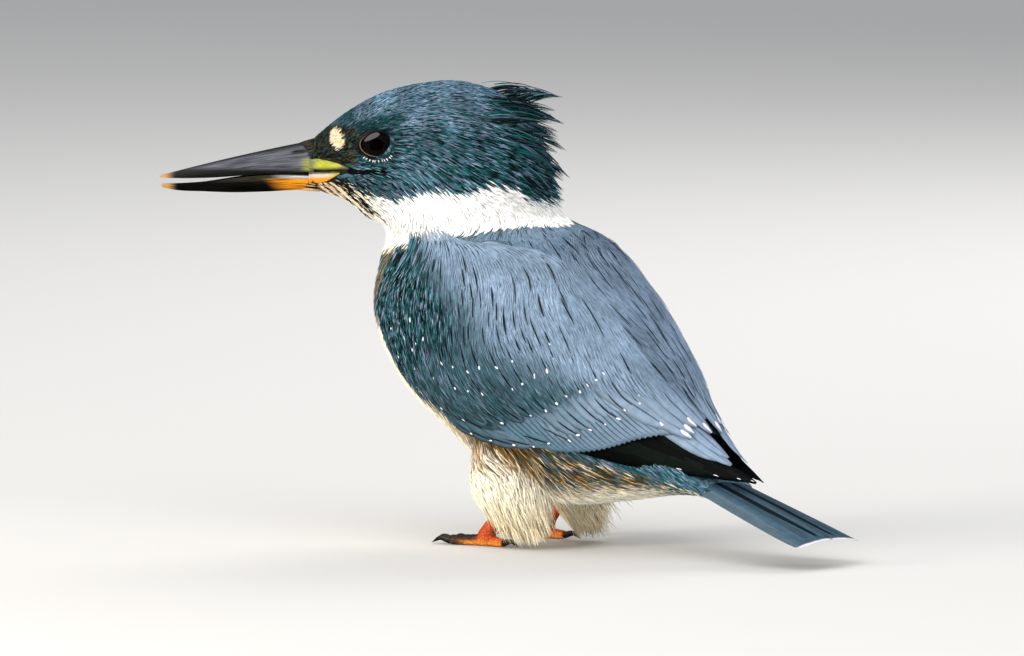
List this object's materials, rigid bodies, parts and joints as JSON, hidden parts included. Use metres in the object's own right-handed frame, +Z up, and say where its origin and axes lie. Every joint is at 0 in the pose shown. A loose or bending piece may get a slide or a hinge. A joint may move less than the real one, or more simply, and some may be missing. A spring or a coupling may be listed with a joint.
{
  "type": "kingfisher figure",
  "caption": "Life-size belted kingfisher standing with its head turned to its left, crest raised and bill slightly open, tail clear of the floor.",
  "frame": {"origin": "on the floor, under the middle of the model's box", "axes": "+Z up, the body faces -Y, the bird's left side is +X and the head is turned towards it"},
  "size_m": [0.103, 0.2342, 0.1525],
  "materials": {
    "dark_feathers": "satin",
    "slate_feathers": "satin",
    "white_feathers": "matte",
    "horn": "semi-gloss",
    "eye": "gloss",
    "foot_skin": "satin",
    "claw": "semi-gloss"
  },
  "bodies": {
    "root": {"head": "dark_feathers", "crest": "dark_feathers", "neck": "white_feathers", "trunk": "slate_feathers", "bill_upper": "horn", "bill_lower": "horn", "eye_left": "eye", "eye_right": "eye", "wing_left": "slate_feathers", "wing_right": "slate_feathers", "tail": "slate_feathers", "thigh_left": "white_feathers", "thigh_right": "white_feathers", "foot_left": "foot_skin", "foot_right": "foot_skin", "claw_inner_left": "claw", "claw_middle_left": "claw", "claw_outer_left": "claw", "claw_hind_left": "claw", "claw_inner_right": "claw", "claw_middle_right": "claw", "claw_outer_right": "claw", "claw_hind_right": "claw"}
  },
  "joints": []
}
